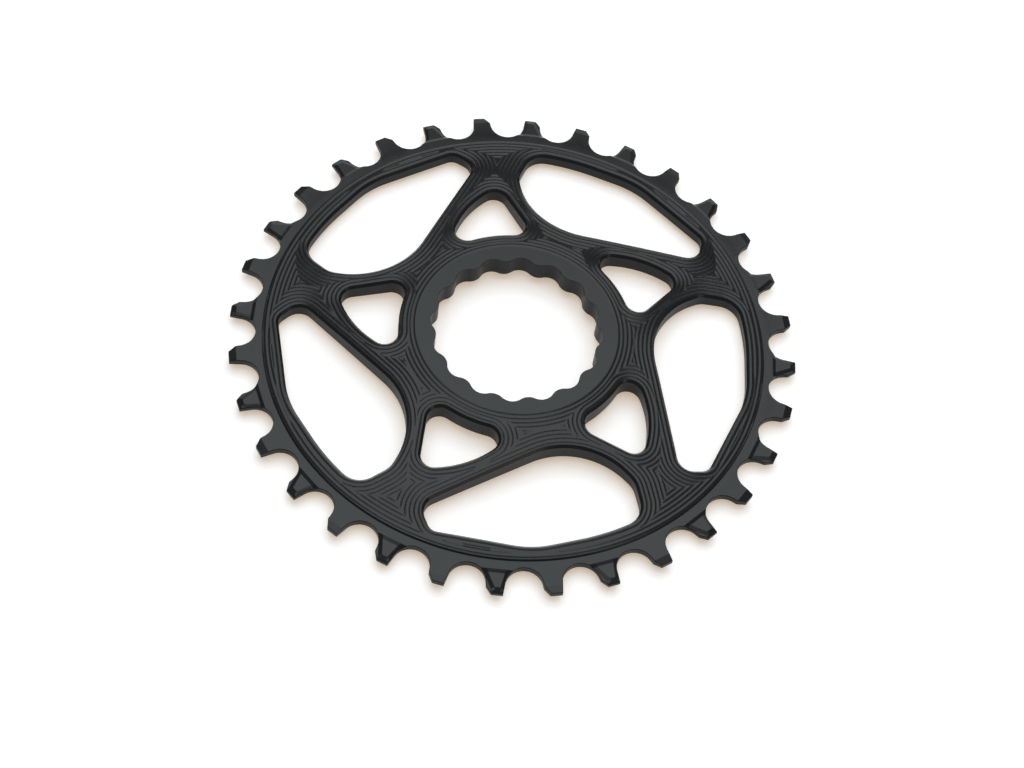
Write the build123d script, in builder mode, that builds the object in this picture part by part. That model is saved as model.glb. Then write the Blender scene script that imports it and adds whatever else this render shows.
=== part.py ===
from build123d import *
from math import atan2, cos, degrees, dist, pi, radians, sin, sqrt, tan
import os

os.makedirs("parts", exist_ok=True)

# Bicycle chainring with alternating narrow and wide teeth, cut from one plate. Millimetres, +Z up.
# It lies on its rim's foot with the hub side up, and the origin is on the axis, level with the foot.

# chain and tooth outline
chain_pitch = 12.7
tooth_pairs = 16  # one narrow and one wide tooth in each
roller_diameter = 7.75
seat_clearance = 0.335
flank_angle = 12.0  # of a flank from the tooth's middle line
tip_rise = 2.05  # tooth tip over the pitch circle
lead_length = 1.8  # slanted corner on the clockwise side of a tip, along the tooth
lead_angle = 42.0

# tooth faces
wide_bevel_length = 2.0  # gentle slope on a wide tooth, back from its tip
wide_bevel_drop = 0.25
step_margin = 0.75  # from the root circle out to a narrow tooth's step
step_depth = 0.25
narrow_bevel_length = 1.5
narrow_bevel_drop = 0.25
face_half_width = 1.8  # narrow tooth's flat, at its step
face_lead = 0.3  # the same flat at the tip's bevel, clockwise of the middle
face_trail = 1.15
lead_bevel_angle = 14.0
trail_bevel_angle = 16.0

# rim, web and hub
rim_thickness = 3.9
tooth_under = 2.0  # underside of the teeth, over the rim's foot
under_land = 0.4  # flat behind the tooth roots, outward of the foot's slope
rim_band = 1.64  # flat band between the web's step and the tooth roots
rim_lip = 1.35  # rim's foot, inward of the step
web_step = 0.46  # web's edge over the rim band
web_edge_thickness = 3.1
hub_radius = 23.35
hub_height = 7.8
hub_thickness = 5.1
boss_margin = 0.65  # flat under the hub, out past the flat on top

# splined bore
bore_radius = 19.65
bore_lobes = 16
lobe_height = 0.62

# windows between the arms
arm_count = 5
spider_turn = -4.44
rim_wall = 4.05  # web left outside a large window
rim_rise = 0.8  # large window's first corner, nearer the step than its arc
hub_wall = 7.75  # web left inside a large window's inner corner
ring_wall = 4.25  # web left inside a small window
small_bulge = 3.05
small_fillet = 3.1
large_fillets = [2.6, 22.0, 5.2, 5.5, 18.2, 3.7]
window_edge_break = 0.6

tooth_count = 2 * tooth_pairs
tooth_step = 360 / tooth_count
pitch_radius = chain_pitch / 2 / sin(pi / tooth_count)
seat_radius = roller_diameter / 2 + seat_clearance
root_radius = pitch_radius - seat_radius
tip_radius = pitch_radius + tip_rise
far_radius = tip_radius + tip_rise  # blank, before the tips are cut flat
clear_radius = far_radius + tip_rise
web_radius = root_radius - rim_band
web_span = web_radius - hub_radius
web_edge_height = rim_thickness + web_step


def polar(radius, angle):
    return (radius * cos(radians(angle)), radius * sin(radians(angle)))


# place on the web, as the share of the way from the hub out to the step
def on_web(share, angle):
    return polar(hub_radius + share * web_span, angle)


# corner radii, made smaller where two of them would not fit on the side between them
def fitted(corners, radii):
    count = len(corners)
    tangents = []
    for i in range(count):
        ahead = Vector(corners[(i + 1) % count]) - Vector(corners[i])
        behind = Vector(corners[i - 1]) - Vector(corners[i])
        tangents.append(radii[i] / tan(radians(ahead.get_angle(behind) / 2)))
    shares = []
    for i in range(count):
        ahead = dist(corners[i], corners[(i + 1) % count]) / (tangents[i] + tangents[(i + 1) % count])
        behind = dist(corners[i], corners[i - 1]) / (tangents[i] + tangents[i - 1])
        shares.append(min(1, 0.95 * ahead, 0.95 * behind))
    return [radii[i] * shares[i] for i in range(count)]


# large window: along the rim a straight side, a bend and a second one that runs into an arc, then corners
# on the long arm, at the hub and on the next arm
rim_side = web_radius - rim_wall
bend_angle = -77.95
arc_start_angle = -66.7
rim_start = polar(rim_side + rim_rise, -101.5)
rim_bend = polar(rim_side / cos(radians(arc_start_angle - bend_angle)), bend_angle)
rim_tangent = polar(rim_side, arc_start_angle)
rim_middle = polar(rim_side, -58.4)
rim_end = polar(rim_side, -50.0)
large_corners = [
    rim_start,
    rim_bend,
    rim_end,
    on_web(0.661, -46.7),
    polar(hub_radius + hub_wall, -51.4),
    on_web(0.777, -106.6),
]

with BuildSketch() as large_window:
    with BuildLine():
        Polyline(rim_start, rim_bend, rim_tangent)
        ThreePointArc(rim_tangent, rim_middle, rim_end)
        Polyline(*large_corners[2:], rim_start)
    make_face()
    for corner, radius in zip(large_corners, fitted(large_corners, large_fillets)):
        fillet(large_window.vertices().sort_by_distance(corner)[0], radius)

# small window: two corners on the ring around the hub and one out on the arm
ring_start = polar(hub_radius + ring_wall, -127.4)
ring_middle = polar(hub_radius + ring_wall, -105.2)
ring_end = polar(hub_radius + ring_wall, -83.0)
small_outer = on_web(0.555, -112.3)
small_corners = [ring_start, ring_end, small_outer]

with BuildSketch() as small_window:
    with BuildLine():
        ThreePointArc(ring_start, ring_middle, ring_end)
        SagittaArc(ring_end, small_outer, small_bulge)
        Line(small_outer, ring_start)
    make_face()
    fillet(small_window.vertices(), min(fitted(small_corners, [small_fillet] * 3)))

# gap between two teeth, centred on the X axis: roller seat, flanks, and the next tooth's slanted corner
seat_x = pitch_radius - seat_radius * sin(radians(flank_angle))
seat_y = seat_radius * cos(radians(flank_angle))
lead_x = tip_radius - lead_length
lead_y = seat_y + (lead_x - seat_x) * tan(radians(flank_angle))
lead_end_y = lead_y + (clear_radius - lead_x) * tan(radians(lead_angle))
trail_end_y = seat_y + (clear_radius - seat_x) * tan(radians(flank_angle))

with BuildSketch() as tooth_gap:
    with BuildLine():
        ThreePointArc((seat_x, -seat_y), (root_radius, 0), (seat_x, seat_y))
        Polyline(
            (seat_x, seat_y),
            (lead_x, lead_y),
            (clear_radius, lead_end_y),
            (clear_radius, -trail_end_y),
            (seat_x, -seat_y),
        )
    make_face()

# bore lobes of equal arcs that meet smoothly, with grooves on the X axis and ridges half a step on
lobe_step = 360 / bore_lobes
lobe_bend = 2 * (1 - cos(radians(lobe_step / 2)))
lobe_slope = 2 * lobe_height * (4 - lobe_bend)
lobe_rest = 4 * lobe_height**2 + lobe_bend * (bore_radius**2 - lobe_height**2)
lobe_arc = (sqrt(lobe_slope**2 + 4 * lobe_bend * lobe_rest) - lobe_slope) / (2 * lobe_bend)
groove_centre = Vector(*polar(bore_radius + lobe_height - lobe_arc, 0))
ridge_centre = Vector(*polar(bore_radius - lobe_height + lobe_arc, lobe_step / 2))
joint = (groove_centre + ridge_centre) / 2
joint_angle = degrees(atan2(joint.Y, joint.X))

with BuildSketch() as bore:
    with BuildLine():
        for lobe in range(bore_lobes):
            turn = lobe * lobe_step
            ThreePointArc(
                polar(joint.length, turn - joint_angle),
                polar(bore_radius + lobe_height, turn),
                polar(joint.length, turn + joint_angle),
            )
            ThreePointArc(
                polar(joint.length, turn + joint_angle),
                polar(bore_radius - lobe_height, turn + lobe_step / 2),
                polar(joint.length, turn + lobe_step - joint_angle),
            )
    make_face()

# what is cut from one tooth ends in the gaps at its sides
cut_half_width = root_radius * tan(radians(tooth_step / 2))
clear_height = rim_thickness + web_step

with BuildPart() as wide_cut:
    with BuildSketch(Plane.XZ):
        with BuildLine():
            Polyline(
                (tip_radius - wide_bevel_length, clear_height),
                (tip_radius - wide_bevel_length, rim_thickness),
                (tip_radius, rim_thickness - wide_bevel_drop),
                (tip_radius, 0),
                (clear_radius, 0),
                (clear_radius, clear_height),
                close=True,
            )
        make_face()
    extrude(amount=cut_half_width, both=True)

# narrow tooth: a step down to its face, and bevels around the face
step_radius = root_radius + step_margin
face_radius = step_radius + step_depth
bevel_radius = tip_radius - narrow_bevel_length
face_height = rim_thickness - step_depth
bevel_width = 2 * face_half_width
lead_along = Vector(bevel_radius - face_radius, face_half_width - face_lead)
trail_along = Vector(bevel_radius - face_radius, face_trail - face_half_width)
lead_plane = Plane(
    origin=(face_radius, -face_half_width, face_height),
    x_dir=(0, 0, 1),
    z_dir=lead_along,
)
trail_plane = Plane(
    origin=(face_radius, face_half_width, face_height),
    x_dir=(0, 0, 1),
    z_dir=trail_along,
)

with BuildPart() as narrow_cut:
    with BuildSketch(Plane.XZ):
        with BuildLine():
            Polyline(
                (step_radius, clear_height),
                (step_radius, rim_thickness),
                (face_radius, face_height),
                (bevel_radius, face_height),
                (tip_radius, face_height - narrow_bevel_drop),
                (tip_radius, 0),
                (clear_radius, 0),
                (clear_radius, clear_height),
                close=True,
            )
        make_face()
    extrude(amount=cut_half_width, both=True)
    with BuildSketch(lead_plane):
        with BuildLine():
            Polyline(
                (0, 0),
                (step_depth, 0),
                (step_depth, bevel_width),
                (-bevel_width * tan(radians(lead_bevel_angle)), bevel_width),
                close=True,
            )
        make_face()
    extrude(amount=far_radius - face_radius)
    with BuildSketch(trail_plane):
        with BuildLine():
            Polyline(
                (0, 0),
                (step_depth, 0),
                (step_depth, -bevel_width),
                (-bevel_width * tan(radians(trail_bevel_angle)), -bevel_width),
                close=True,
            )
        make_face()
    extrude(amount=far_radius - face_radius)

with BuildPart() as chainring:
    with BuildSketch(Plane.XZ):
        with BuildLine():
            Polyline(
                (0, hub_height),
                (hub_radius, hub_height),
                (web_radius, web_edge_height),
                (web_radius, rim_thickness),
                (far_radius, rim_thickness),
                (far_radius, tooth_under),
                (root_radius - under_land, tooth_under),
                (web_radius, 0),
                (web_radius - rim_lip, 0),
                (web_radius - rim_lip, web_edge_height - web_edge_thickness),
                (hub_radius + boss_margin, hub_height - hub_thickness),
                (0, hub_height - hub_thickness),
                close=True,
            )
        make_face()
    revolve(axis=Axis.Z)
    with BuildSketch():
        add(bore.sketch)
    extrude(amount=hub_height, mode=Mode.SUBTRACT)
    with BuildSketch():
        with PolarLocations(0, arm_count, spider_turn):
            add(large_window.sketch)
            add(small_window.sketch)
    extrude(amount=hub_height, mode=Mode.SUBTRACT)
    web_top = chainring.faces().filter_by(GeomType.CONE).sort_by(Axis.Z)[-1]
    window_edges = web_top.edges().filter_by(GeomType.LINE, reverse=True)
    window_edges = window_edges.filter_by(lambda edge: edge.center().Z < hub_height - 0.01)
    window_edges = window_edges.filter_by(lambda edge: edge.center().Z > web_edge_height + 0.01)
    chamfer(window_edges, window_edge_break)
    with BuildSketch():
        with PolarLocations(0, tooth_count, tooth_step / 2):
            add(tooth_gap.sketch)
    extrude(amount=rim_thickness, mode=Mode.SUBTRACT)
    with PolarLocations(0, tooth_pairs):
        add(narrow_cut.part, mode=Mode.SUBTRACT)
    with PolarLocations(0, tooth_pairs, tooth_step):
        add(wide_cut.part, mode=Mode.SUBTRACT)

chainring.part.label = "chainring"
export_step(chainring.part, "parts/chainring.step")
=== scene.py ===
from cmath import exp, phase, rect
from itertools import count
from math import ceil, cos, pi, radians, sin, tau

import bmesh
import bpy
import numpy as np
from mathutils import Matrix, Vector
from mathutils.geometry import delaunay_2d_cdt
from mathutils.kdtree import KDTree


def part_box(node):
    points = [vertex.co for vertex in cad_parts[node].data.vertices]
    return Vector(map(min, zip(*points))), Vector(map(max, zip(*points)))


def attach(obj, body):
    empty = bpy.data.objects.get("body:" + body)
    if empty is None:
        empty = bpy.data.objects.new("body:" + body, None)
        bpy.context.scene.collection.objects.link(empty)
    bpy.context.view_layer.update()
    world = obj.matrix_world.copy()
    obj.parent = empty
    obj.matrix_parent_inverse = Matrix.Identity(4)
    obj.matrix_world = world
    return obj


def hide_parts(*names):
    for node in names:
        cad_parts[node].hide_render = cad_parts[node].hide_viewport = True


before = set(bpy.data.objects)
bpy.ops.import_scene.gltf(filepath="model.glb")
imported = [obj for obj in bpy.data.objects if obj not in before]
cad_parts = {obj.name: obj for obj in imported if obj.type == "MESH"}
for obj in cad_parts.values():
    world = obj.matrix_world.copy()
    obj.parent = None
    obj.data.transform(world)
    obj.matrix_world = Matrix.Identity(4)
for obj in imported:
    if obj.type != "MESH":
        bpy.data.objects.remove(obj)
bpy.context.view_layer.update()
low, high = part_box("chainring")
scene = bpy.context.scene
scene.view_settings.view_transform = "Standard"

# Lengths are in millimetres until a mesh is made, and points in the plane are complex numbers.
mm = 0.001

# levels and circles that the pieces share
plate = {
    "tipRadius": (high.x - low.x) / 2 / mm,
    "hubHeight": high.z / mm,
    "hubRadius": 23.35,
    "bossRadius": 24.0,
    "bossHeight": 2.7,
    "webRadius": 58.935,  # the web steps down to the rim band here
    "webHeight": 4.36,
    "webBreak": 0.2,  # broken edge of that step
    "rimHeight": 3.9,
    "toothUnder": 2.0,  # underside of the teeth, over the rim's foot
    "lipRadius": 57.585,  # inner edge of the rim's foot
    "underEdge": 1.26,  # web's underside at the lip
    "circleSteps": 480,
}
webEdge = plate["webRadius"] - plate["webBreak"]


def polar(radius, angle):
    return rect(radius, radians(angle))


def coneHeight(radius):
    share = (radius - plate["hubRadius"]) / (plate["webRadius"] - plate["hubRadius"])
    return plate["hubHeight"] + share * (plate["webHeight"] - plate["hubHeight"])


def underHeight(radius):
    share = (radius - plate["bossRadius"]) / (plate["lipRadius"] - plate["bossRadius"])
    return plate["bossHeight"] + share * (plate["underEdge"] - plate["bossHeight"])


# even turns of the plate's circles along one of several equal sectors
def arcTurns(startAngle, sectors):
    steps = plate["circleSteps"] // sectors
    return np.exp(1j * (radians(startAngle) + np.arange(steps + 1) * tau / plate["circleSteps"]))


arcStep = 0.15  # largest step along a fillet or seat, in radians


# points and right-hand normals along a line, or along the short arc around a centre
def stroke(start, end, spacing, centre=None):
    if centre is None:
        steps = max(1, ceil(abs(end - start) / spacing))
        points = np.linspace(start, end, steps + 1)
        return points, np.full(steps + 1, -1j * (end - start) / abs(end - start))
    turn = phase((end - centre) / (start - centre))
    radius = abs(start - centre)
    steps = max(2, ceil(abs(turn) * radius / min(spacing, arcStep * radius)))
    turns = np.exp(1j * (phase(start - centre) + np.linspace(0, turn, steps + 1)))
    return centre + radius * turns, turns * np.sign(turn)


# strokes end to end, with the normals averaged where two strokes meet
def joinStrokes(strokes, closed):
    points, normals = [], []
    for i, (place, facing) in enumerate(strokes):
        facing = facing.copy()
        before = strokes[i - 1][1][-1]
        if closed or i > 0:
            facing[0] = (facing[0] + before) / (1 + (facing[0] * before.conjugate()).real)
        last = len(place) if i == len(strokes) - 1 and not closed else -1
        points.append(place[:last])
        normals.append(facing[:last])
    return np.concatenate(points), np.concatenate(normals)


# whole circle, facing out of it where sense is 1 and into it where sense is -1
def circle(radius, startAngle, sense, steps):
    turns = np.exp(1j * (radians(startAngle) + sense * tau * np.arange(steps) / steps))
    return radius * turns, turns * sense


# how far a place is from the nearest of some outlines, and whether it is on their right-hand side
class Field:
    def __init__(self, outlines):
        self.points = np.concatenate([points for points, normals in outlines])
        self.normals = np.concatenate([normals for points, normals in outlines])
        self.tree = KDTree(len(self.points))
        for i, point in enumerate(self.points):
            self.tree.insert((point.real, point.imag, 0), i)
        self.tree.balance()

    def distance(self, point):
        return self.tree.find((point.real, point.imag, 0))[2]

    def onRight(self, point):
        nearest = self.tree.find((point.real, point.imag, 0))[1]
        return ((point - self.points[nearest]) * self.normals[nearest].conjugate()).real > 0


# vertices and faces of one piece
class Shell:
    def __init__(self):
        self.vertices = []
        self.faces = []

    def row(self, points, heights):
        first = len(self.vertices)
        heights = np.broadcast_to(heights, len(points))
        self.vertices += [(p.real * mm, p.imag * mm, h * mm) for p, h in zip(points, heights)]
        return list(range(first, len(self.vertices)))

    # quads from each row of points to the next
    def strips(self, rows, closed):
        made = [self.row(points, heights) for points, heights in rows]
        for upper, lower in zip(made, made[1:]):
            for i in range(0 if closed else 1, len(upper)):
                self.faces.append((upper[i - 1], upper[i], lower[i], lower[i - 1]))

    def sheet(self, points, triangles, heights, facesUp):
        made = self.row(points, heights)
        for triangle in triangles:
            corners = [made[i] for i in triangle]
            self.faces.append(corners if facesUp else corners[::-1])

    def mesh(self, name):
        made = bpy.data.meshes.new(name)
        made.from_pydata(self.vertices, [], self.faces)
        return made


samePlace = 0.00001  # points of a drawing that are closer are one


# points and lines gathered for one triangulation in the plane
class Drawing:
    def __init__(self):
        self.points = []
        self.edges = []

    def path(self, points, closed):
        first = len(self.points)
        self.points += list(points)
        made = list(range(first, len(self.points)))
        self.edges += list(zip(made, made[1:]))
        if closed:
            self.edges.append((made[-1], made[0]))
        return made

    def triangulate(self, border=None):
        places = [Vector((p.real, p.imag)) for p in self.points]
        faces = [border] if border else []
        out = delaunay_2d_cdt(places, self.edges, faces, 1 if border else 0, samePlace)
        return np.array([complex(v.x, v.y) for v in out[0]]), out[2]


# unbroken stretches of a path where keep is true, as lists of points
def keptRuns(points, keep, closed):
    keep = np.asarray(keep)
    if closed and not keep.all() and keep.any():
        start = int(np.argmin(keep))
        points, keep = np.roll(points, -start), np.roll(keep, -start)
    runs = np.split(np.arange(len(points)), np.flatnonzero(np.diff(keep.astype(int))) + 1)
    return [points[run] for run in runs if keep[run[0]]]


def respaced(points, spacing):
    lengths = np.concatenate([[0], np.cumsum(np.abs(np.diff(points)))])
    wanted = np.linspace(0, lengths[-1], max(2, ceil(lengths[-1] / spacing) + 1))
    return np.interp(wanted, lengths, points.real) + 1j * np.interp(wanted, lengths, points.imag)


# Shader and geometry maths: one socket that takes part in sums, and one way to add a node.
class Wire:
    def __init__(self, socket):
        self.socket = socket

    @staticmethod
    def node(tree, kind, settings=None, values=None):
        made = tree.nodes.new(kind)
        for name, value in (settings or {}).items():
            setattr(made, name, value)
        for name, value in (values or {}).items():
            if isinstance(value, Wire):
                tree.links.new(value.socket, made.inputs[name])
            else:
                made.inputs[name].default_value = value
        return made

    @staticmethod
    def of(tree, kind, settings=None, values=None, output=0):
        return Wire(Wire.node(tree, kind, settings, values).outputs[output])

    def maths(self, operation, *others):
        values = dict(enumerate([self, *others]))
        return Wire.of(self.socket.id_data, "ShaderNodeMath", {"operation": operation}, values)

    def __add__(self, other):
        return self.maths("ADD", other)

    def __sub__(self, other):
        return self.maths("SUBTRACT", other)

    def __mul__(self, other):
        return self.maths("MULTIPLY", other)

    def __truediv__(self, other):
        return self.maths("DIVIDE", other)

    def __rtruediv__(self, other):
        values = {0: other, 1: self}
        return Wire.of(self.socket.id_data, "ShaderNodeMath", {"operation": "DIVIDE"}, values)

    __radd__ = __add__


# black anodised aluminium, satin, with the small unevenness of a dyed surface; steep walls get a duller, less
# glossy copy of it, painted shade for the shadowed floor they mirror
anodised = {
    "dark": (0.0075, 0.0082, 0.0090, 1),
    "light": (0.0125, 0.0132, 0.0140, 1),
    "patchScale": 90.0,
    "patchDetail": 4.0,
    "roughness": 0.22,
    "roughnessSpread": 0.08,
    "grainScale": 2600.0,
    "grainDetail": 2.0,
    "grainDepth": 0.000004,
    "grainStrength": 0.25,
    "ior": 1.50,
    "wallSlope": 0.3,  # a wall's normal rises or falls by less than this
    # duller, less glossy walls: painted shade
    "wallRoughness": 0.42,
    "wallShadeGloss": 0.2,
}


def anodisedBlack():
    made = bpy.data.materials.new("anodised_black")
    made.use_nodes = True
    tree = made.node_tree
    tree.nodes.clear()
    place = Wire.of(tree, "ShaderNodeTexCoord", output="Object")
    patches = Wire.of(tree, "ShaderNodeTexNoise", None,
                      {"Vector": place, "Scale": anodised["patchScale"], "Detail": anodised["patchDetail"]})
    grain = Wire.of(tree, "ShaderNodeTexNoise", None,
                    {"Vector": place, "Scale": anodised["grainScale"], "Detail": anodised["grainDetail"]})
    colour = Wire.of(tree, "ShaderNodeMix", {"data_type": "RGBA"},
                     {0: patches, 6: anodised["dark"], 7: anodised["light"]}, output=2)
    roughness = anodised["roughness"] + (patches - 0.5) * anodised["roughnessSpread"]
    bump = Wire.of(tree, "ShaderNodeBump", None, {
        "Strength": anodised["grainStrength"], "Distance": anodised["grainDepth"], "Height": grain,
    })
    turned = Wire.of(tree, "ShaderNodeBsdfPrincipled", None,
                     {"Base Color": colour, "Roughness": roughness, "Normal": bump, "IOR": anodised["ior"]})
    # painted shade: the same colour with less gloss, so walls look as dark as if they mirrored the ring's
    # shadow on the floor
    shadedWall = Wire.of(tree, "ShaderNodeBsdfPrincipled", None, {
        "Base Color": colour, "Roughness": anodised["wallRoughness"], "Normal": bump,
        "IOR": anodised["ior"], "Specular IOR Level": anodised["wallShadeGloss"],
    })
    wall = Wire.of(tree, "ShaderNodeAttribute", {"attribute_name": "wall"}, output="Fac")
    surface = Wire.of(tree, "ShaderNodeMixShader", None, {0: wall, 1: turned, 2: shadedWall})
    Wire.node(tree, "ShaderNodeOutputMaterial", None, {"Surface": surface})
    return made


blackFinish = anodisedBlack()


# object with one Geometry Nodes tree, made into a plain mesh
def grown(mesh, tree, sizes, sharpAngle):
    holder = bpy.data.objects.new(mesh.name, mesh)
    scene.collection.objects.link(holder)
    modifier = holder.modifiers.new(tree.name, "NODES")
    modifier.node_group = tree
    for item in tree.interface.items_tree:
        if item.name in sizes:
            modifier[item.identifier] = sizes[item.name]
    evaluated = holder.evaluated_get(bpy.context.evaluated_depsgraph_get())
    made = bpy.data.meshes.new_from_object(evaluated)
    made.set_sharp_from_angle(angle=radians(sharpAngle))
    holder.modifiers.remove(modifier)
    bpy.data.objects.remove(holder)
    return made


def newTree(name, inputs):
    tree = bpy.data.node_groups.new(name, "GeometryNodeTree")
    tree.interface.new_socket("Geometry", in_out="INPUT", socket_type="NodeSocketGeometry")
    for title, kind in inputs.items():
        tree.interface.new_socket(title, in_out="INPUT", socket_type=kind)
    tree.interface.new_socket("Geometry", in_out="OUTPUT", socket_type="NodeSocketGeometry")
    group = tree.nodes.new("NodeGroupInput")
    return tree, {socket.name: Wire(socket) for socket in group.outputs if socket.name}


def closeTree(tree, geometry):
    whole = Wire.of(tree, "GeometryNodeRealizeInstances", None, {"Geometry": geometry})
    dressed = Wire.of(tree, "GeometryNodeSetMaterial", None, {"Geometry": whole, "Material": blackFinish})
    Wire.node(tree, "NodeGroupOutput", None, {0: dressed})


# one sector repeated around the axis and joined at its cut sides
def aroundAxisTree():
    tree, given = newTree("aroundAxis", {"count": "NodeSocketInt", "weld": "NodeSocketFloat"})
    index = Wire.of(tree, "GeometryNodeInputIndex")
    angle = index * (tau / given["count"])
    points = Wire.of(tree, "GeometryNodePoints", None, {"Count": given["count"]})
    turn = Wire.of(tree, "ShaderNodeCombineXYZ", None, {"Z": angle})
    copies = Wire.of(tree, "GeometryNodeInstanceOnPoints", None,
                     {"Points": points, "Instance": given["Geometry"], "Rotation": turn})
    whole = Wire.of(tree, "GeometryNodeRealizeInstances", None, {"Geometry": copies})
    welded = Wire.of(tree, "GeometryNodeMergeByDistance", None,
                     {"Geometry": whole, "Distance": given["weld"]})
    closeTree(tree, welded)
    return tree


# flat sheet lifted to a cone, with ridges between cutter passes that follow the sheet's open edges
def groovedConeTree():
    sizes = ["passWidth", "ridgeHeight", "ridgePower"]
    sizes += ["innerRadius", "outerRadius", "innerHeight", "outerHeight"]
    tree, given = newTree("groovedCone", {name: "NodeSocketFloat" for name in sizes})
    sheet = given["Geometry"]
    faces = Wire.of(tree, "GeometryNodeInputMeshEdgeNeighbors")
    isOpen = Wire.of(tree, "FunctionNodeCompare", {"data_type": "INT", "operation": "EQUAL"},
                     {2: faces, 3: 1})
    border = Wire.of(tree, "GeometryNodeSeparateGeometry", {"domain": "EDGE"},
                     {"Geometry": sheet, "Selection": isOpen})
    distance = Wire.of(tree, "GeometryNodeProximity", {"target_element": "EDGES"}, {0: border}, "Distance")
    passes = distance / given["passWidth"] + 0.5  # half a pass along each edge
    across = (passes.maths("FRACT") * 2 - 1).maths("ABSOLUTE")
    ridge = given["ridgeHeight"] * across.maths("POWER", given["ridgePower"])
    place = Wire.of(tree, "GeometryNodeInputPosition")
    radius = Wire.of(tree, "ShaderNodeVectorMath", {"operation": "LENGTH"}, {0: place}, "Value")
    share = (radius - given["innerRadius"]) / (given["outerRadius"] - given["innerRadius"])
    height = given["innerHeight"] + share * (given["outerHeight"] - given["innerHeight"]) + ridge
    offset = Wire.of(tree, "ShaderNodeCombineXYZ", None, {"Z": height})
    closeTree(tree, Wire.of(tree, "GeometryNodeSetPosition", None, {"Geometry": sheet, "Offset": offset}))
    return tree


aroundAxis = aroundAxisTree()
groovedCone = groovedConeTree()
weldDistance = 0.002 * mm

# Windows. Corners run with the window on the left; each side is straight, or an arc of a stated circle with
# the window inside it (sense 1) or outside it (sense -1). A corner without a fillet is where one side runs on
# smoothly into the next.
window = {
    "arms": 5,
    "turn": -4.44,
    "rimCircle": 54.885,
    "bendAngle": -77.95,  # corner between the two straight rim sides
    "arcAngle": -66.7,  # the second of them runs into the rim circle here
    "ringCircle": 27.6,
    "smallBulge": 3.05,
    "smallFillet": 3.1,
    "largeFillets": [2.6, 22.0, 0, 5.2, 5.5, 18.2, 3.7],
    "filletRounds": 12,
    "topBreak": 0.6,
    "underBreak": 0.3,
    "spacing": 0.8,
}
largeCorners = [
    polar(55.685, -101.5),
    polar(window["rimCircle"] / cos(radians(window["arcAngle"] - window["bendAngle"])), window["bendAngle"]),
    polar(window["rimCircle"], window["arcAngle"]),
    polar(window["rimCircle"], -50.0),
    polar(46.87, -46.7),
    polar(31.1, -51.4),
    polar(51.0, -106.6),
]
smallCorners = [polar(window["ringCircle"], -83.0), polar(window["ringCircle"], -127.4), polar(43.1, -112.3)]
bulgeChord = smallCorners[0] - smallCorners[2]
bulgeRadius = (abs(bulgeChord) ** 2 / 4 + window["smallBulge"] ** 2) / (2 * window["smallBulge"])
bulgeInward = 1j * bulgeChord / abs(bulgeChord)
bulgeCentre = smallCorners[2] + bulgeChord / 2 + bulgeInward * (bulgeRadius - window["smallBulge"])


# depth of a place into the window from one side, and the direction of that depth
def intoWindow(side, place):
    if "centre" in side:
        away = place - side["centre"]
        return side["sense"] * (side["radius"] - abs(away)), -side["sense"] * away / abs(away)
    inward = 1j * (side["end"] - side["start"]) / abs(side["end"] - side["start"])
    return ((place - side["start"]) * inward.conjugate()).real, inward


def windowOutline(corners, arcs, fillets, spacing):
    total = len(corners)
    sides = [arcs.get(i, {"start": corners[i], "end": corners[(i + 1) % total]}) for i in range(total)]
    centres = []
    for i, centre in enumerate(corners):
        # move in until both sides are one fillet away
        for step in range(window["filletRounds"] if fillets[i] else 0):
            (depthA, wayA), (depthB, wayB) = intoWindow(sides[i - 1], centre), intoWindow(sides[i], centre)
            missA, missB = fillets[i] - depthA, fillets[i] - depthB
            centre += 1j * (wayA * missB - wayB * missA) / (wayA.conjugate() * wayB).imag
        centres.append(centre)
    strokes = []
    for i, centre in enumerate(centres):
        after = (i + 1) % total
        arrives = centre - fillets[i] * intoWindow(sides[i - 1], centre)[1]
        leaves = centre - fillets[i] * intoWindow(sides[i], centre)[1]
        reaches = centres[after] - fillets[after] * intoWindow(sides[i], centres[after])[1]
        if fillets[i]:
            strokes.append(stroke(arrives, leaves, spacing, centre))
        strokes.append(stroke(leaves, reaches, spacing, sides[i].get("centre")))
    return joinStrokes(strokes, closed=True)


# all windows at one spacing of points
def windowOutlines(spacing):
    rimArc = {2: {"centre": 0j, "radius": window["rimCircle"], "sense": 1}}
    ringArcs = {
        0: {"centre": 0j, "radius": window["ringCircle"], "sense": -1},
        2: {"centre": bulgeCentre, "radius": bulgeRadius, "sense": 1},
    }
    large = windowOutline(largeCorners, rimArc, window["largeFillets"], spacing)
    small = windowOutline(smallCorners, ringArcs, [window["smallFillet"]] * 3, spacing)
    made = []
    for arm in range(window["arms"]):
        turn = exp(1j * radians(window["turn"] + arm * 360 / window["arms"]))
        made += [(points * turn, normals * turn) for points, normals in (large, small)]
    return made


# Web: cone with cutter passes parallel to every edge, window walls and a plain underside.
web = {
    "passWidth": 1.0,
    "ridgeHeight": 0.085,
    "ridgePower": 2.0,
    "passLines": [0.3, 0.5, 0.7, 1.0],  # where lines of the mesh run, ridges at 0.5
    "lineSpacing": 0.8,
    "fieldSpacing": 0.1,
    "keepSlack": 0.004,  # a line stays where another outline is nearer by less
    "topDensity": 8,  # points of the field's circles, for each of the mesh's
    "underDensity": 4,
    "underPass": 3.0,
}


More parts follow.
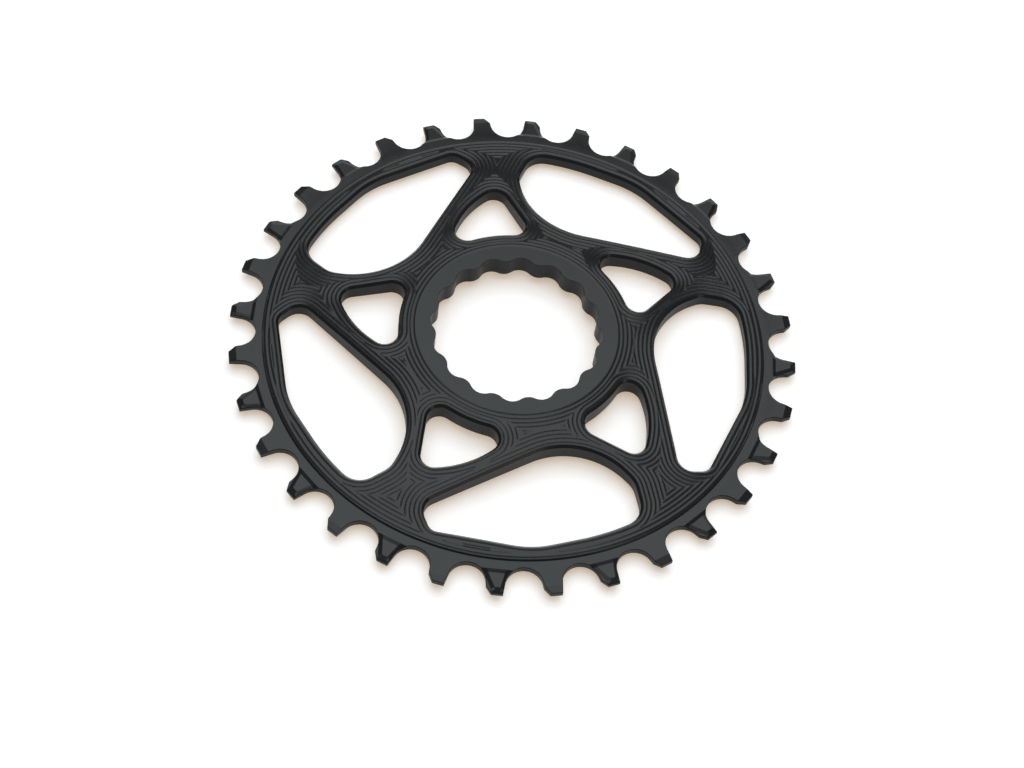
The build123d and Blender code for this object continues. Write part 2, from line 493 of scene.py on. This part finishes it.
# lines at even distances from all outlines, each kept where no other outline is nearer
def contourSheet(outlines, fine, passWidth, passLines, spacing):
    field = Field(fine)
    drawing = Drawing()
    for points, normals in outlines:
        drawing.path(points, closed=True)
    for points, normals in fine:
        for line in count():
            distance = passWidth * (line // len(passLines) + passLines[line % len(passLines)])
            path = points + normals * distance
            keep = [field.distance(place) > distance - web["keepSlack"] for place in path]
            if not any(keep):
                break
            for run in keptRuns(path, keep, closed=True):
                if all(keep):
                    drawing.path(respaced(np.append(run, run[0]), spacing)[:-1], closed=True)
                elif len(run) > 1:
                    drawing.path(respaced(run, spacing), closed=False)
    places, triangles = drawing.triangulate()
    middles = [places[list(triangle)].mean() for triangle in triangles]
    return places, [triangle for triangle, middle in zip(triangles, middles) if field.onRight(middle)]


def webMeshes():
    walls = windowOutlines(window["spacing"])
    fineWalls = windowOutlines(web["fieldSpacing"])

    def outset(outlines, width):
        return [(points + normals * width, normals) for points, normals in outlines]

    # hub's and rim's edges, with points where the sectors of both have theirs
    def circles(inner, outer, density):
        total = plate["circleSteps"] * density
        return [circle(inner, -180 / hub["lobes"], 1, total), circle(outer, -toothStep / 2, -1, total)]

    topEdges = outset(walls, window["topBreak"]) + circles(plate["hubRadius"], webEdge, 1)
    topFine = outset(fineWalls, window["topBreak"]) + circles(plate["hubRadius"], webEdge, web["topDensity"])
    places, triangles = contourSheet(
        topEdges, topFine, web["passWidth"], web["passLines"], web["lineSpacing"])
    top = Shell()
    top.sheet(places, triangles, 0, facesUp=True)
    grooves = grown(top.mesh("webTop"), groovedCone, {
        "passWidth": web["passWidth"] * mm,
        "ridgeHeight": web["ridgeHeight"] * mm,
        "ridgePower": web["ridgePower"],
        "innerRadius": plate["hubRadius"] * mm,
        "outerRadius": plate["webRadius"] * mm,
        "innerHeight": plate["hubHeight"] * mm,
        "outerHeight": plate["webHeight"] * mm,
    }, sharpAngle=22)

    rest = Shell()
    underEdges = outset(walls, window["underBreak"])
    underEdges += circles(plate["bossRadius"], plate["lipRadius"], 1)
    underFine = outset(fineWalls, window["underBreak"])
    underFine += circles(plate["bossRadius"], plate["lipRadius"], web["underDensity"])
    places, triangles = contourSheet(underEdges, underFine, web["underPass"], [1.0], web["underPass"])
    rest.sheet(places, triangles, underHeight(np.abs(places)), facesUp=False)
    for points, normals in walls:
        upper = points + normals * window["topBreak"]
        lower = points + normals * window["underBreak"]
        rest.strips([
            (upper, coneHeight(np.abs(upper))),
            (points, coneHeight(np.abs(upper)) - window["topBreak"]),
            (points, underHeight(np.abs(lower)) + window["underBreak"]),
            (lower, underHeight(np.abs(lower))),
        ], closed=True)
    return [grooves, rest.mesh("webWalls")]


# Teeth: one narrow and one wide tooth with their share of the rim, from gap middle to gap middle.
teeth = {
    "pairs": 16,
    "tipRise": 2.05,  # over the pitch circle
    "seatRadius": 4.21,
    "flankAngle": 12.0,
    "leadLength": 1.8,  # slanted corner on a tip's clockwise side
    "leadAngle": 42.0,
    "edgeBreak": 0.13,
    "underBreak": 0.25,
    "wideBevel": (1.75, 0.34),  # length back from the tip, drop at the tip
    "ledge": (61.1, 0.3, 0.015),  # where a wide tooth's face starts, width and drop of its edge
    "step": (61.2, 0.8, 0.25),  # the same for a narrow tooth
    "narrowBevel": (1.35, 0.48),
    "leadEdge": ((62.1, -1.8), (65.2, -0.3)),  # sides of the narrow tooth's face
    "trailEdge": ((62.1, 1.8), (65.2, 1.15)),
    "leadBevel": (0.9, 0.30),  # width and drop, with a lower flat beyond
    "trailBevel": (1.0, 0.35),
    "underLand": 0.4,  # flat behind the roots, outward of the foot's slope
    "foot": 0.2,  # hollow corner where the web steps down to the rim
    "footPoints": 5,
    "spacing": 0.3,
    "lineSpacing": 0.1,  # along the folds of the faces, before they are cut to the outline
    "lineReach": 5.0,  # half a fold across a tooth
    "edgeRun": (0.4, 3.0),  # how far the narrow face's sides run on, at the step and at the tip
    "lineGap": 0.02,  # between a fold's end and the broken edge
}
toothStep = 180 / teeth["pairs"]
pitchRadius = plate["tipRadius"] - teeth["tipRise"]
leadEdge = [complex(*end) for end in teeth["leadEdge"]]
trailEdge = [complex(*end) for end in teeth["trailEdge"]]


# outline of one tooth, counter-clockwise from the middle of one gap to the middle of the next
def toothStrokes(toothAngle, spacing):
    flank, lead = radians(teeth["flankAngle"]), radians(teeth["leadAngle"])
    seat, half = teeth["seatRadius"], exp(1j * radians(toothStep / 2))
    before, after = pitchRadius / half, pitchRadius * half  # roller seats beside the tooth on the X axis
    seatStart = before + seat * 1j * exp(1j * flank) / half
    seatEnd = after - seat * 1j * exp(-1j * flank) * half

    def toDepth(start, way, depth):  # along a way until the distance from the axis is reached
        return start + way * (depth - start.real) / way.real

    leadStart = toDepth(seatStart * half, exp(1j * flank), plate["tipRadius"] - teeth["leadLength"]) / half
    leadTip = toDepth(leadStart, exp(1j * lead) / half, plate["tipRadius"])
    trailTip = toDepth(seatEnd, exp(-1j * flank) * half, plate["tipRadius"])
    turn = exp(1j * radians(toothAngle))
    return [
        stroke(before * (1 - seat / pitchRadius) * turn, seatStart * turn, spacing, before * turn),
        stroke(seatStart * turn, leadStart * turn, spacing),
        stroke(leadStart * turn, leadTip * turn, spacing),
        stroke(leadTip * turn, trailTip * turn, spacing),
        stroke(trailTip * turn, seatEnd * turn, spacing),
        stroke(seatEnd * turn, after * (1 - seat / pitchRadius) * turn, spacing, after * turn),
    ]


# distance to the right of a directed edge
def rightOf(place, edge):
    way = (edge[1] - edge[0]) / abs(edge[1] - edge[0])
    return ((place - edge[0]) * (-1j * way).conjugate()).real


def ramp(reach, width, drop):
    return drop * min(max(reach / width, 0), 1)


# whether a place is on the wide tooth, and the place as seen with its tooth on the X axis
def ownTooth(place):
    wide = phase(place) > radians(toothStep / 2)
    return wide, place * exp(-1j * radians(toothStep)) if wide else place


def toothTop(place):
    wide, own = ownTooth(place)
    bevel, drop = teeth["wideBevel"] if wide else teeth["narrowBevel"]
    start, width, depth = teeth["ledge"] if wide else teeth["step"]
    ledge = ramp(own.real - start, width, depth)
    tip = max(0, own.real - plate["tipRadius"] + bevel) * drop / bevel
    lead = 0 if wide else ramp(rightOf(own, leadEdge), *teeth["leadBevel"])
    trail = 0 if wide else ramp(-rightOf(own, trailEdge), *teeth["trailBevel"])
    return plate["rimHeight"] - ledge - max(tip, lead * ledge / depth, trail * ledge / depth)


def toothRingMesh():
    sectorTurns = arcTurns(-toothStep / 2, teeth["pairs"])

    def outline(spacing):
        return joinStrokes(toothStrokes(0, spacing) + toothStrokes(toothStep, spacing), closed=False)

    rim, facing = outline(teeth["spacing"])
    fine = outline(web["fieldSpacing"] / 2)
    field = Field([fine])
    shell = Shell()

    # line across a tooth at one distance from the axis
    def across(depth, toothAngle):
        end = complex(depth, teeth["lineReach"])
        return stroke(end.conjugate(), end, teeth["lineSpacing"])[0] * exp(1j * radians(toothAngle))

    # side of the narrow face, and the foot of its bevel, run on to the tip
    def bevelLines(edge, width):
        way = (edge[1] - edge[0]) / abs(edge[1] - edge[0])
        start = edge[0] - way * teeth["edgeRun"][0]
        end = edge[1] + way * teeth["edgeRun"][1]
        aside = 1j * way * width
        return [stroke(start + shift, end + shift, teeth["lineSpacing"])[0] for shift in (0, aside)]

    # one side of the sector, its top where sense is 1 and its underside where sense is -1
    def face(innerRadius, edgeBreak, features, height, sense):
        def brokenHeight(place):
            return height(place) - sense * max(0, edgeBreak - field.distance(place))

        drawing = Drawing()
        inset = rim - facing * edgeBreak
        outer = drawing.path(rim, closed=False)
        within = drawing.path(inset, closed=False)
        inner = drawing.path(innerRadius * sectorTurns, closed=False)
        for feature in features:
            keep = [field.distance(place) > edgeBreak + teeth["lineGap"] for place in feature]
            keep = np.logical_and(keep, [not field.onRight(place) for place in feature])
            for run in keptRuns(feature, keep, closed=False):
                if len(run) > 1:
                    drawing.path(respaced(run, teeth["spacing"]), closed=False)
        border = outer + [within[-1]] + inner[::-1] + [within[0]]
        places, triangles = drawing.triangulate(border)
        shell.sheet(places, triangles, [brokenHeight(place) for place in places], facesUp=sense > 0)
        return [brokenHeight(place) for place in rim]

    topLines = []
    for angle, start, bevel in ((0, "step", "narrowBevel"), (toothStep, "ledge", "wideBevel")):
        begin, width = teeth[start][:2]
        bevelRadius = plate["tipRadius"] - teeth[bevel][0]
        topLines += [across(depth, angle) for depth in (begin, begin + width, bevelRadius)]
    topLines += bevelLines(leadEdge, -teeth["leadBevel"][0]) + bevelLines(trailEdge, teeth["trailBevel"][0])

    foot = teeth["foot"]
    bandRadius = plate["webRadius"] + foot
    topEdge = face(bandRadius, teeth["edgeBreak"], topLines, toothTop, 1)
    landRadius = pitchRadius - teeth["seatRadius"] - teeth["underLand"]
    lowEdge = face(landRadius, teeth["underBreak"], [], lambda place: plate["toothUnder"], -1)
    shell.strips([(rim, topEdge), (rim, lowEdge)], closed=False)
    hollow = [exp(1j * angle) for angle in np.linspace(pi, 1.5 * pi, teeth["footPoints"])]
    shell.strips([
        (webEdge * sectorTurns, coneHeight(webEdge)),
        (plate["webRadius"] * sectorTurns, plate["webHeight"] - plate["webBreak"]),
        *[
            ((bandRadius + foot * place.real) * sectorTurns, plate["rimHeight"] + foot * (1 + place.imag))
            for place in hollow
        ],
    ], closed=False)
    shell.strips([
        (landRadius * sectorTurns, plate["toothUnder"]),
        (plate["webRadius"] * sectorTurns, 0),
        (plate["lipRadius"] * sectorTurns, 0),
        (plate["lipRadius"] * sectorTurns, plate["underEdge"]),
    ], closed=False)
    sizes = {"count": teeth["pairs"], "weld": weldDistance}
    return grown(shell.mesh("toothPair"), aroundAxis, sizes, sharpAngle=6)


# Hub: one lobe of the splined bore with its share of the hub's faces.
hub = {
    "lobes": 16,
    "boreRadius": 19.65,
    "lobeHeight": 0.62,
    "lobeRadius": 3.248,
    "edgeBreak": 0.06,
    "spacing": 0.25,
}


def hubMesh():
    half = 180 / hub["lobes"]
    sectorTurns = arcTurns(-half, hub["lobes"])
    grooveCentre = polar(hub["boreRadius"] + hub["lobeHeight"] - hub["lobeRadius"], 0)
    ridgeCentre = polar(hub["boreRadius"] - hub["lobeHeight"] + hub["lobeRadius"], half)
    joint = (grooveCentre + ridgeCentre) / 2
    ridge = polar(hub["boreRadius"] - hub["lobeHeight"], half)
    bore, facing = joinStrokes([
        stroke(ridge.conjugate(), joint.conjugate(), hub["spacing"], ridgeCentre.conjugate()),
        stroke(joint.conjugate(), joint, hub["spacing"], grooveCentre),
        stroke(joint, ridge, hub["spacing"], ridgeCentre),
    ], closed=False)
    inset = bore + facing * hub["edgeBreak"]
    shell = Shell()

    def face(outerRadius, height, facesUp):
        drawing = Drawing()
        inner = drawing.path(inset, closed=False)
        outer = drawing.path(outerRadius * sectorTurns, closed=False)
        places, triangles = drawing.triangulate(outer + inner[::-1])
        shell.sheet(places, triangles, height, facesUp)

    face(plate["hubRadius"], plate["hubHeight"], True)
    face(plate["bossRadius"], plate["bossHeight"], False)
    shell.strips([
        (inset, plate["hubHeight"]),
        (bore, plate["hubHeight"] - hub["edgeBreak"]),
        (bore, plate["bossHeight"] + hub["edgeBreak"]),
        (inset, plate["bossHeight"]),
    ], closed=False)
    sizes = {"count": hub["lobes"], "weld": weldDistance}
    return grown(shell.mesh("hubLobe"), aroundAxis, sizes, sharpAngle=24)


# the meshes as one closed piece
def joined(name, meshes, sharpAngle):
    work = bmesh.new()
    for mesh in meshes:
        work.from_mesh(mesh)
    for edge in work.edges:  # the borders stay sharp when they are welded
        edge.smooth = edge.smooth and len(edge.link_faces) == 2
    bmesh.ops.remove_doubles(work, verts=work.verts, dist=weldDistance)
    bmesh.ops.recalc_face_normals(work, faces=work.faces)
    openEdges = sum(1 for edge in work.edges if len(edge.link_faces) != 2)
    for edge in work.edges:
        if len(edge.link_faces) == 2 and edge.calc_face_angle() > radians(sharpAngle):
            edge.smooth = False
    made = bpy.data.meshes.new(name)
    work.to_mesh(made)
    work.free()
    made.materials.clear()
    made.materials.append(blackFinish)
    made.polygons.foreach_set("material_index", [0] * len(made.polygons))
    made.polygons.foreach_set("use_smooth", [True] * len(made.polygons))
    steep = [float(abs(face.normal.z) < anodised["wallSlope"]) for face in made.polygons]
    made.attributes.new("wall", "FLOAT", "FACE").data.foreach_set("value", steep)
    piece = bpy.data.objects.new(name, made)
    scene.collection.objects.link(piece)
    made.calc_loop_triangles()
    print(name, len(made.loop_triangles), "triangles,", openEdges, "open edges")
    return piece


webParts = webMeshes()
print("web made")
toothRing = toothRingMesh()
print("teeth made")
hubRing = hubMesh()
print("hub made")
chainring = joined("chainring_body", [*webParts, toothRing, hubRing], sharpAngle=24)
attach(chainring, "root")
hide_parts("chainring")

# Floor: white where it is lit, warm where the ring shades it.
floor = {
    "halfSize": 1.5,
    "lit": (0.70, 0.83, 0.96, 1),
    "own": (0.50, 0.40, 0.30, 1),  # seen by the camera and in reflections only
}


def whiteFloor():
    made = bpy.data.materials.new("white_floor")
    made.use_nodes = True
    tree = made.node_tree
    tree.nodes.clear()
    rays = Wire.node(tree, "ShaderNodeLightPath")
    seen = Wire(rays.outputs["Is Camera Ray"]) + Wire(rays.outputs["Is Glossy Ray"])
    seen = (seen + Wire(rays.outputs["Is Transmission Ray"])).maths("MINIMUM", 1.0)
    lit = Wire.of(tree, "ShaderNodeBsdfDiffuse", None, {"Color": floor["lit"]})
    own = Wire.of(tree, "ShaderNodeEmission", None, {"Color": floor["own"], "Strength": seen})
    surface = Wire.of(tree, "ShaderNodeAddShader", None, {0: lit, 1: own})
    Wire.node(tree, "ShaderNodeOutputMaterial", None, {"Surface": surface})
    return made


def floorPlane():
    half = floor["halfSize"]
    mesh = bpy.data.meshes.new("floor")
    corners = [(-half, -half, 0), (half, -half, 0), (half, half, 0), (-half, half, 0)]
    mesh.from_pydata(corners, [], [(0, 1, 2, 3)])
    mesh.materials.append(whiteFloor())
    made = bpy.data.objects.new("floor", mesh)
    scene.collection.objects.link(made)
    return made


floorPlane()

# Camera, as the photograph was taken. Its far side is the light's side.
view = {
    "turn": -4.44,
    "elevation": 57.12,
    "roll": 9.824,
    "distance": 456.72,
    "target": (1.105, -10.95, 0.0),
    "lift": 0.6,
    "lens": 68.82,
    "clipStart": 0.01,
}
# A window-like panel on the far side and a small warm lamp beside the camera show in the metal; the overhead
# lamp only lights.
lamps = {
    "panel": {
        "size": (0.82, 1.0), "distance": 1.2, "elevation": 73.0, "turn": -6.0,
        "radiance": 1.4, "color": (0.93, 1, 1), "inGloss": True,
    },
    "backdrop": {
        "size": (1.8, 0.6), "distance": 1.2, "elevation": 16.0, "turn": 0.0,
        "radiance": 0.9, "color": (1, 1, 1), "inGloss": True,
    },
    "overhead": {
        "size": (1.6, 1.6), "distance": 1.1, "elevation": 84.0, "turn": 0.0,
        "radiance": 1.2, "color": (1, 1, 1), "inGloss": False,
    },
    "room": {
        "size": (0.4, 0.34), "distance": 1.2, "elevation": 23.0, "turn": 128.0,
        "radiance": 0.7, "color": (1, 0.88, 0.78), "inGloss": True,
    },
}
worldStrength = 0.12
viewTurn = Matrix.Rotation(radians(view["turn"]), 4, "Z")


def placeCamera():
    tilt, roll = radians(view["elevation"]), radians(view["roll"])
    back = Vector((0, -cos(tilt), sin(tilt)))
    up = Vector((0, sin(tilt), cos(tilt)))
    right = Vector((1, 0, 0))
    axes = Matrix((cos(roll) * right + sin(roll) * up, cos(roll) * up - sin(roll) * right, back))
    place = (Vector(view["target"]) + view["distance"] * back) * mm
    data = bpy.data.cameras.new("camera")
    data.lens = view["lens"]
    data.clip_start = view["clipStart"]
    made = bpy.data.objects.new("camera", data)
    scene.collection.objects.link(made)
    made.matrix_world = viewTurn @ Matrix.Translation(place) @ axes.transposed().to_4x4()
    made.location.z += view["lift"] * mm
    scene.camera = made


def placeLamp(name, lamp):
    tilt, turn = radians(lamp["elevation"]), radians(lamp["turn"])
    away = Vector((sin(turn) * cos(tilt), cos(turn) * cos(tilt), sin(tilt)))
    data = bpy.data.lights.new(name, "AREA")
    data.shape = "RECTANGLE"
    data.size, data.size_y = lamp["size"]
    data.energy = lamp["radiance"] * pi * data.size * data.size_y
    data.color = lamp["color"]
    made = bpy.data.objects.new(name, data)
    made.visible_glossy = lamp["inGloss"]
    scene.collection.objects.link(made)
    facing = away.to_track_quat("Z", "Y").to_matrix().to_4x4()
    made.matrix_world = viewTurn @ Matrix.Translation(away * lamp["distance"]) @ facing


def lightWorld():
    world = bpy.data.worlds.new("studio")
    world.use_nodes = True
    background = world.node_tree.nodes["Background"]
    background.inputs["Color"].default_value = (1, 1, 1, 1)
    background.inputs["Strength"].default_value = worldStrength
    scene.world = world


placeCamera()
for lampName, lamp in lamps.items():
    placeLamp(lampName, lamp)
lightWorld()
print("floor, camera and lamps placed")
